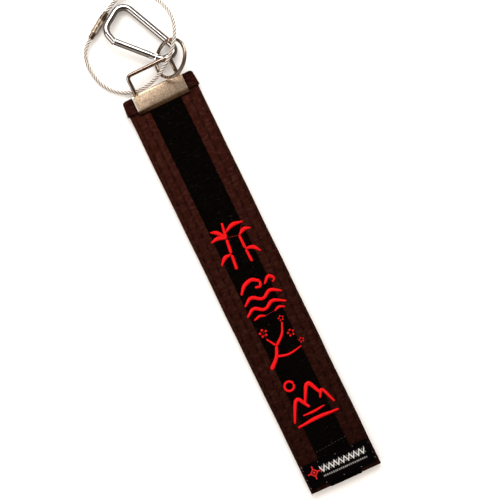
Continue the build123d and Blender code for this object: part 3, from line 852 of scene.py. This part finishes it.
MOUNTAIN = [
    [(-13.6, -11.0, 0.6), (-6.6, 3.4, 1.3), (-1.4, -5.8, 0.8)],
    [(-3.2, -3.0, 0.7), (3.4, 9.4, 1.4), (8.0, -1.0, 0.9)],
    [(6.4, -3.6, 0.6), (9.4, 1.8, 1.1), (13.2, -9.0, 0.6)],
    [(-12.8, -14.0, 0.6), (0.0, -13.0, 1.3), (13.4, -14.2, 0.6)],
    [(-7.2, -8.8, 0.4), (0.0, -9.2, 0.9), (6.8, -8.4, 0.4)],
]
SUN = (-7.0, 10.4, 2.9)
MOTIF_PLACES = {
    "motif_1": (0.6, 24.4),
    "motif_2": (1.3, -8.4),
    "motif_3": (0.6, -38.4),
    "motif_4": (0.4, -74.6),
}


def petal_strokes(x, y, size):
    """Five short petals round a middle."""
    petals = []
    for i in range(5):
        a = radians(90 + i * 72)
        petals.append([
            (x + 0.42 * size * cos(a), y + 0.42 * size * sin(a), 0.2 * size),
            (x + 0.86 * size * cos(a), y + 0.86 * size * sin(a), 0.4 * size),
        ])
    return petals


def sun_strokes(x, y, size):
    """One closed round stroke."""
    angles = [i * pi / 5 for i in range(11)]
    return [[(x + size * cos(a), y + size * sin(a), 0.75) for a in angles]]


def fine_stroke(stroke):
    """The stroke as closely spaced (x, y, half width), its corners softened."""
    points = stroke
    for _ in range(2):
        softer = [points[0]]
        for a, b in zip(points, points[1:]):
            softer.append(tuple(0.8 * p + 0.2 * q for p, q in zip(a, b)))
            softer.append(tuple(0.2 * p + 0.8 * q for p, q in zip(a, b)))
        softer.append(points[-1])
        points = softer
    fine = []
    for a, b in zip(points, points[1:]):
        steps = max(1, ceil(hypot(b[0] - a[0], b[1] - a[1]) / 0.35))
        for i in range(steps):
            fine.append(tuple(p + (q - p) * i / steps for p, q in zip(a, b)))
    fine.append(points[-1])
    return fine


def satin(build, stroke, place):
    """Domed strip of satin stitch with rounded ends and a slightly ragged outline."""
    fine = fine_stroke(stroke)
    length = 0.0
    rows = []
    uvs = []
    across = [-1.0, -0.9, -0.66, -0.33, 0.0, 0.33, 0.66, 0.9, 1.0]
    total = sum(hypot(b[0] - a[0], b[1] - a[1]) for a, b in zip(fine, fine[1:]))
    first, last = fine[0], fine[-1]
    for i, (x, y, r) in enumerate(fine):
        before, after = fine[max(i - 1, 0)], fine[min(i + 1, len(fine) - 1)]
        d = Vector((after[0] - before[0], after[1] - before[1], 0)).normalized()
        n = Vector((-d.y, d.x, 0))
        if i:
            length += hypot(x - before[0], y - before[1])
        end_fade = min(1.0, (length + 0.12) / max(first[2], 0.4), (total - length + 0.12) / max(last[2], 0.4))
        width = (r + 0.06 * (-1) ** i) * (end_fade ** 0.5)
        height = min(0.85, 0.3 + 0.45 * width) * (end_fade ** 0.5)
        row = []
        for c in across:
            p = Vector((x + place[0], y + place[1], SATIN_Z)) + n * (c * width)
            dome = height * (1 - c * c) ** 0.55 if abs(c) < 1 else -0.15
            row.append((p.x, p.y, p.z + RIBBON_RISE * over_ribbon(p.x) + dome))
        rows.append(row)
        uvs.append([(length, c * width) for c in across])
    build.grid(rows, uvs=uvs)
    for end in (rows[0], rows[-1]):
        base = len(build.points)
        middle = [sum(p[k] for p in end) / len(end) for k in range(3)]
        build.points += end + [(middle[0], middle[1], min(p[2] for p in end))]
        build.uvs += [(0.1, 0.0)] * (len(end) + 1)
        for j in range(len(end) - 1):
            pair = (base + j, base + j + 1) if end is rows[0] else (base + j + 1, base + j)
            build.faces.append((*pair, base + len(end)))
            build.slots.append(0)


def jump_threads(build, strokes, place):
    """Thin threads that run from one stroke's end to the next one's start."""
    for a, b in zip(strokes, strokes[1:]):
        p, q = a[-1], b[0]
        if 1.5 < hypot(q[0] - p[0], q[1] - p[1]) < 9:
            path = []
            for i in range(7):
                t = i / 6
                x = place[0] + p[0] + (q[0] - p[0]) * t
                y = place[1] + p[1] + (q[1] - p[1]) * t + 0.25 * sin(pi * t)
                z = SATIN_Z + 0.1 + RIBBON_RISE * over_ribbon(x) + 0.1 * sin(pi * t)
                path.append(Vector((x, y, z)))
            build.tube(path, 0.1, 5, slot=1)


def add_motifs(red, dark_red):
    """The four line designs, each one mesh of satin strokes and the thin threads between them."""
    flowers = [s for flower in FLOWERS for s in petal_strokes(*flower)]
    designs = {
        "motif_1": BAMBOO,
        "motif_2": WAVES,
        "motif_3": BLOSSOM + flowers,
        "motif_4": MOUNTAIN + sun_strokes(*SUN),
    }
    for name, strokes in designs.items():
        build = Build()
        for stroke in strokes:
            satin(build, stroke, MOTIF_PLACES[name])
        jump_threads(build, strokes, MOTIF_PLACES[name])
        sewn = build.make(name + "_satin", [red, dark_red])
        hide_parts(name)
        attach(sewn, "strap")


# End binding, in millimetres, just inside its CAD box

BINDING_Y = (binding_low[1], binding_high[1] - 0.05)
BINDING_INNER = clamp_high[0] + 0.05
BINDING_OUTER = binding_high[0] - 0.05
BINDING_TAPER = 0.8
BINDING_CORNER = 1.5
BINDING_HALF = (binding_high[2] - binding_low[2]) / 2 - 0.08


def add_binding(material):
    """Cloth ears either side of the clamp: the folded cap, rounded at its outer corners."""
    build = Build()
    low, high = BINDING_Y
    angles = [2 * pi * i / 28 for i in range(28)]
    for side in (-1, 1):
        rows = []
        for y in spaced(low, high, 0.35):
            top = max(0.0, high - y)
            outer = BINDING_OUTER - BINDING_TAPER * (y - low) / (high - low) + 0.12 * wobble(y * 2.1, side)
            if top < BINDING_CORNER:
                outer -= BINDING_CORNER - (BINDING_CORNER ** 2 - (BINDING_CORNER - top) ** 2) ** 0.5
            half = BINDING_HALF * min(1.0, (y - low + 0.3) / 0.8, (top + 0.25) / 1.1) ** 0.5
            ring = []
            for a in angles:
                across = copysign(abs(cos(a)) ** 0.35, cos(a))
                up = copysign(abs(sin(a)) ** 0.6, sin(a))
                x = (BINDING_INNER + outer) / 2 + across * (outer - BINDING_INNER) / 2
                z = MIDDLE_HELD + up * half + 0.1 * wobble(y * 1.2 + side, x * 0.9)
                ring.append((side * x, y, z))
            rows.append(ring if side > 0 else list(reversed(ring)))
        build.grid(rows, closed=True, capped=True)
    binding = build.make("end_binding_cloth", [material])
    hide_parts("end_binding")
    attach(binding, "strap")


# Cable ring, in millimetres; the nut's outlines are (distance along the barrel, radius)

CABLE = 2.2
STRANDS = 4
STRAND_SIDES = 12
STRAND_RADIUS = 0.465
LAY = 9.0
CORE_RADIUS = 0.5
BARREL_START = Vector((-22.8, 171.0, 2.65))
BARREL_WAY = Vector((cos(radians(33.0)), sin(radians(33.0)), 0))
BARREL_LENGTH = 18.0
CABLE_ROUTE = [
    (4.6, 186.4, 2.3),
    (14.2, 183.6, 2.8),
    (21.0, 176.6, 5.6),
    (25.3, 167.0, 10.2),
    (25.6, 156.8, 15.2),
    (21.6, 146.8, 18.0),
    (14.4, 138.8, 16.6),
    (5.2, 133.2, 11.0),
    (-4.6, 130.7, 4.2),
    (-14.4, 131.2, 1.3),
    (-23.4, 136.1, 1.1),
    (-29.4, 144.1, 1.1),
    (-31.3, 153.2, 1.1),
    (-31.1, 159.4, 1.6),
    (-29.6, 164.6, 2.4),
]
NUT_SIDES = 112
NUT_START, NUT_END = 3.7, 12.7
CHAMFERED, GROOVED, PLAIN, KNURLED = 1.8, 1.95, 2.06, 2.17
KNURL_DEPTH = 0.13
NUT_OUTSIDE = [
    (NUT_START, 1.35), (NUT_START, CHAMFERED), (4.0, PLAIN), (4.3, PLAIN),
    (4.45, KNURLED), (7.9, KNURLED), (8.05, GROOVED), (8.5, GROOVED),
    (8.65, KNURLED), (11.9, KNURLED), (12.05, PLAIN), (12.4, PLAIN),
    (NUT_END, CHAMFERED), (NUT_END, 1.28),
]
NUT_BORE = [(11.1, 1.28), (10.9, 1.63), (9.0, 1.63), (8.7, 1.36), (NUT_START, 1.35)]


def cable_line():
    """Points along the cable's own smooth line, from the barrel's far end round to its start."""
    out = BARREL_START + BARREL_WAY * BARREL_LENGTH
    route = [out, out + BARREL_WAY * 5.0, *[Vector(p) for p in CABLE_ROUTE]]
    route += [BARREL_START - BARREL_WAY * 4.4, BARREL_START]
    curve = bpy.data.curves.new("cable_route", "CURVE")
    curve.dimensions = "3D"
    curve.resolution_u = 24
    spline = curve.splines.new("NURBS")
    spline.points.add(len(route) - 1)
    for point, p in zip(spline.points, route):
        point.co = (p.x * MM, p.y * MM, p.z * MM, 1)
    spline.order_u = 3
    spline.use_endpoint_u = True
    holder = bpy.data.objects.new("cable_route", curve)
    mesh = bpy.data.meshes.new_from_object(holder)
    line = [v.co / MM for v in mesh.vertices]
    bpy.data.objects.remove(holder)
    return line


def resample(line, step):
    """The same line at even steps."""
    total = sum((b - a).length for a, b in zip(line, line[1:]))
    count = round(total / step)
    points = [line[0].copy()]
    target, done = total / count, 0.0
    for a, b in zip(line, line[1:]):
        run = (b - a).length
        while len(points) < count and done + run >= target * len(points):
            points.append(a.lerp(b, (target * len(points) - done) / run))
        done += run
    points.append(line[-1].copy())
    return points, total


def add_cable(materials):
    """Steel wire rope: four strands laid round a core, a lit copy of the steel on their crests and a copy
    with painted shade between them and on the core.
    """
    points, total = resample(cable_line(), 0.4)
    build = Build()
    strands = [[] for _ in range(STRANDS)]
    turns = [2 * pi * j / STRAND_SIDES for j in range(STRAND_SIDES)]
    for i, (p, ahead, side, up) in enumerate(frames(points)):
        twist = 2 * pi * (i * total / (len(points) - 1)) / LAY
        for k, strand in enumerate(strands):
            a = twist + 2 * pi * k / STRANDS
            out = side * cos(a) + up * sin(a)
            along = ahead.cross(out)
            middle = p + out * (CABLE / 2 - STRAND_RADIUS)
            strand.append([middle + (out * cos(b) + along * sin(b)) * STRAND_RADIUS for b in turns])
    # Crest faces take the lit copy of the steel; the rest of each strand and the core take the copy with
    # painted shade
    crest = (0, 1, STRAND_SIDES - 2, STRAND_SIDES - 1)
    for strand in strands:
        first = len(build.faces)
        build.grid(strand, closed=True, capped=True)
        for f in range(first, len(build.faces)):
            build.slots[f] = 0 if (f - first) % STRAND_SIDES in crest else 1
    build.tube(points, CORE_RADIUS, 6, slot=1)
    cable = build.make("wire_rope", materials)
    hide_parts("cable")
    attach(cable, "cable_ring")
    [p * MM for p in points]


def around(station, radius, angle):
    """Point on a circle about the barrel's axis."""
    up = Vector((0, 0, 1))
    side = BARREL_WAY.cross(up)
    return BARREL_START + BARREL_WAY * station + (side * cos(angle) + up * sin(angle)) * radius


def add_barrel(material):
    """The nut: two bands of straight knurling with plain grooves and chamfers, bored through."""
    rows = []
    for station, radius in NUT_OUTSIDE + NUT_BORE:
        row = []
        for k in range(NUT_SIDES):
            bite = KNURL_DEPTH if radius == KNURLED and k % 4 in (0, 1) else 0.0
            row.append(around(station, radius - bite, 2 * pi * k / NUT_SIDES))
        rows.append(row)
    build = Build()
    build.grid(rows, closed=True)
    nut = build.make("barrel_knurled", [material], smooth=False)
    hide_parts("barrel_nut")
    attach(nut, "barrel")


def paint_nodes(names, material):
    """Give CAD pieces a material all over."""
    for name in names:
        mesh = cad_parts[name].data
        mesh.materials.clear()
        mesh.materials.append(material)
        for polygon in mesh.polygons:
            polygon.material_index = 0


def main():
    add_camera()
    add_barrel(polished("barrel_plate", (0.85, 0.72, 0.58), 0.22, 0.36, (0.6, 0.46, 0.34)))
    # Lit and painted-shade copies of the rope's steel
    add_cable([
        polished("rope_lit_crests", (0.93, 0.85, 0.77), 0.25, 0.36, (0.72, 0.62, 0.53), 0.4),
        polished("rope_shaded", (0.09, 0.063, 0.044), 0.3, 0.45, (0.06, 0.038, 0.024), 0.5),
    ])
    add_room()
    add_lights()
    add_floor()
    brown = ribbed_cloth("brown_cotton", (0.0275, 0.0052, 0.0027), radians(17), 0.00105, shaded_by_clamp=True)
    add_belt_cloth(brown)
    add_black_ribbon(black_cotton())
    brown_threads = [
        thread_material("seam_thread_light", (0.017, 0.0042, 0.0025), 0.0, 0.03),
        thread_material("seam_thread_dark", (0.004, 0.001, 0.0007), 0.0, 0.03),
    ]
    add_stitch_rows("needle_stitches", "needle_threads", 1, brown_threads)
    add_stitch_rows("bobbin_stitches", "bobbin_threads", -1, brown_threads)
    add_cross_seam([thread_material("grey_thread", (0.024, 0.022, 0.02))])
    add_label([
        woven("label_ground", (0.0016, 0.0011, 0.0011)),
        woven("label_white", (0.72, 0.7, 0.68)),
        woven("label_red", (0.6, 0.02, 0.02)),
        woven("label_grey", (0.26, 0.25, 0.25)),
    ])
    add_motifs(satin_stitch(), thread_material("jump_thread", (0.2, 0.004, 0.005)))
    add_binding(ribbed_cloth("binding_cotton", (0.019, 0.0032, 0.0016), radians(8), 0.0005))
    loop_plate = polished("loop_plate", (0.55, 0.42, 0.34), 0.06, 0.14, (0.26, 0.14, 0.08))
    ring_plate = polished("ring_plate", (0.6, 0.48, 0.39), 0.06, 0.14, (0.3, 0.18, 0.11))
    clip_metal = polished("clip_metal", (0.62, 0.59, 0.57), 0.05, 0.12, (0.45, 0.4, 0.36))
    ferrule_plate = polished("ferrule_plate", (0.3, 0.22, 0.16), 0.2, 0.34, (0.12, 0.07, 0.045))
    paint_nodes(["clamp_shell"], blasted_nickel())
    paint_nodes(["wire_loop"], loop_plate)
    paint_nodes(["split_ring"], ring_plate)
    paint_nodes(["carabiner_body", "gate"], clip_metal)
    paint_nodes(["ferrule_a", "ferrule_b"], ferrule_plate)
    paint_nodes(["gate_rivet", "latch_pin", "gate_spring", "gate_follower"], plain_steel())
    paint_nodes(["belt_core"], batting())


main()
